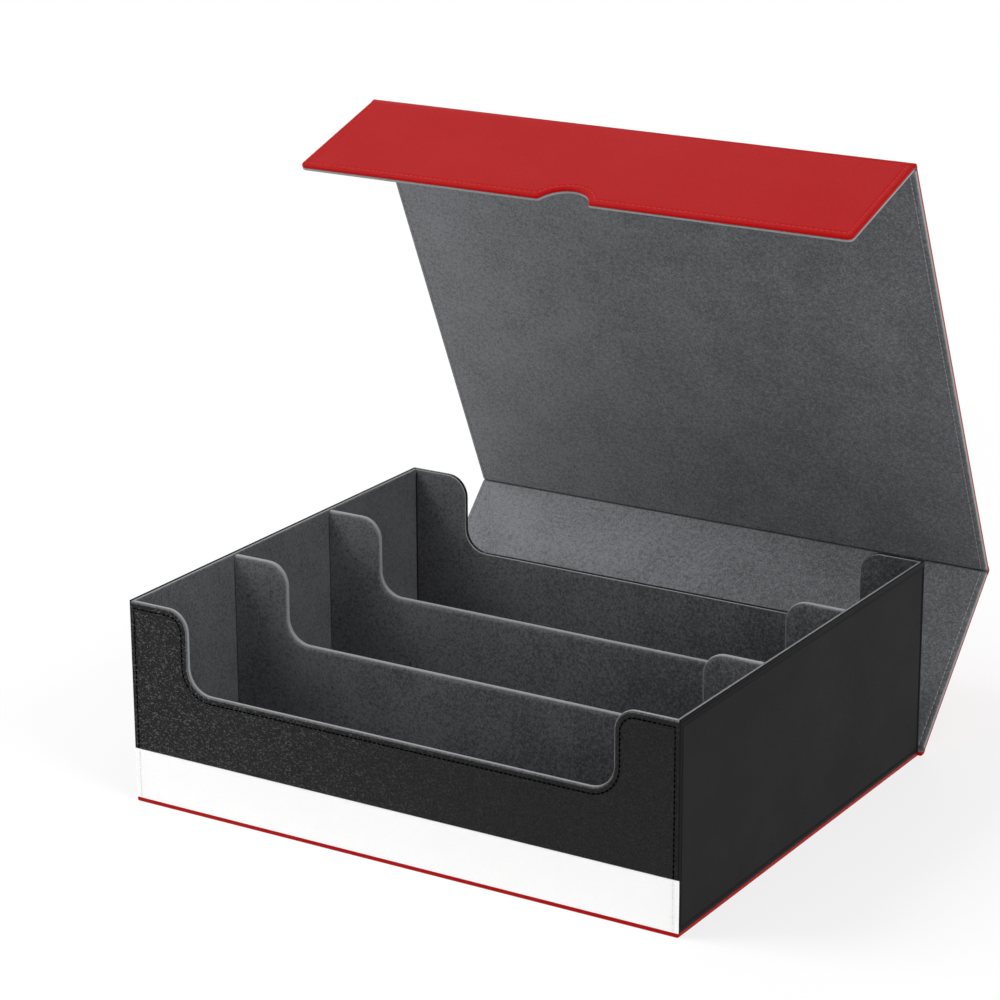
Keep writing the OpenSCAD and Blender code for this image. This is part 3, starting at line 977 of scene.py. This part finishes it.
for name, from_body, to_body, from_turn, axis, reach, crease in FOLDS:
    to_turn = TURNS[to_body]
    back, on = -along(from_turn), along(to_turn)
    up_from, up_to = outward(from_turn), outward(to_turn)
    half_turn = (to_turn - from_turn) / 2
    across = (on - back).normalized()
    from_end, to_end = axis + back * reach, axis + on * fold_half
    # outside, a roll round the fold
    crown = axis + (up_from + up_to) / (1 + up_from.dot(up_to)) * cover_half_t
    outside = (
        from_end + up_from * cover_half_t, crown, to_end + up_to * cover_half_t,
        to_end, axis, from_end,
    )
    crown_r = cover_half_t * math.tan(half_turn)
    leather = bar(name + "_leather", outside, (crown, crown_r, 8), red_leather)
    swing = across * (cover_half_t * math.sin(half_turn))
    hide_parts(crease)
    axis - swing
    axis + swing
    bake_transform(leather)
    # inside, a shallow valley
    valley = axis - (up_from + up_to).normalized() * valley_depth
    inside = (
        from_end - up_from * fold_lining_t, valley, to_end - up_to * fold_lining_t,
        to_end, axis, from_end,
    )
    lining = bar(name + "_cloth", inside, (valley, valley_r, 4), cover_cloth)
    swing = across * (fold_lining_t / 2)
    axis - swing
    axis + swing
    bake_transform(lining)


# Studio: a pale floor that keeps the shadow, a large soft lamp to the left, weaker
# ones to the right, behind and low on the left, and a plain white surround.
def seen_plainly(tree):
    """1 for what the camera sees straight, mirrored or through glass, and 0 for what only lights."""
    rays = tree.nodes.new("ShaderNodeLightPath").outputs
    straight, mirrored, through = (
        Value(tree, rays[kind]) for kind in ("Is Camera Ray", "Is Glossy Ray", "Is Transmission Ray")
    )
    return straight + mirrored + through


def soft_lamp(name, place, target, size, power):
    """A square lamp that looks at a point."""
    data = bpy.data.lights.new(name, "AREA")
    data.size, data.energy = size, power
    lamp = bpy.data.objects.new(name, data)
    scene.collection.objects.link(lamp)
    lamp.location = place
    lamp.rotation_euler = (Vector(target) - Vector(place)).to_track_quat("-Z", "Y").to_euler()


bpy.ops.mesh.primitive_plane_add(size=12)
ground = bpy.context.object
ground.name = "ground"
paper = Finish("ground_paper", Specular_IOR_Level=0.1)
paper_cloud = paper.noise(size=0.4, detail=2)
paper.feed(
    Base_Color=paper_cloud.mixed((0.93, 0.93, 0.93), (0.95, 0.95, 0.95)),
    Roughness=paper_cloud.ramp(0.0, 1.0, 0.85, 0.95),
)
# seen straight or in a reflection, it is nearly white close to the box and white further off
close_by, far_off = 0.45, 1.1
white_close_by = 0.72
distance = paper.at.node("VectorMath", {"operation": "LENGTH"}, {0: paper.at}, out=1)
whiteness = seen_plainly(paper.tree) * distance.ramp(close_by, far_off, white_close_by, 1.0)
glow = paper.at.node("Emission", {}, {"Strength": 1.0})
surface = paper.at.node("MixShader", {}, {0: whiteness})
for place, shader in ((1, paper.shader.outputs[0]), (2, glow.socket)):
    paper.tree.links.new(shader, surface.socket.node.inputs[place])
paper.tree.links.new(surface.socket, paper.tree.nodes["Material Output"].inputs["Surface"])
ground.data.materials.append(paper.material)

tray_middle, cover_middle = (0, 0, 0.1), (0, 0.2, 0.2)
soft_lamp("key_lamp", place=(-1.5, -0.8, 2.0), target=tray_middle, size=1.1, power=35)
soft_lamp("side_lamp", place=(2.1, -0.6, 1.4), target=tray_middle, size=1.1, power=27)
soft_lamp("back_lamp", place=(-0.9, 2.2, 0.45), target=tray_middle, size=1.2, power=16)
soft_lamp("low_lamp", place=(-1.2, -0.7, 0.5), target=cover_middle, size=0.7, power=2.4)

world = bpy.data.worlds.new("surround")
world.use_nodes = True
scene.world = world
surround = world.node_tree.nodes["Background"]
surround.inputs["Color"].default_value = (1, 1, 1, 1)
lighting_strength, seen_strength = 0.48, 1.0
strength = seen_plainly(world.node_tree).ramp(0.0, 1.0, lighting_strength, seen_strength)
world.node_tree.links.new(strength.socket, surround.inputs["Strength"])

scene.view_settings.view_transform = "Standard"
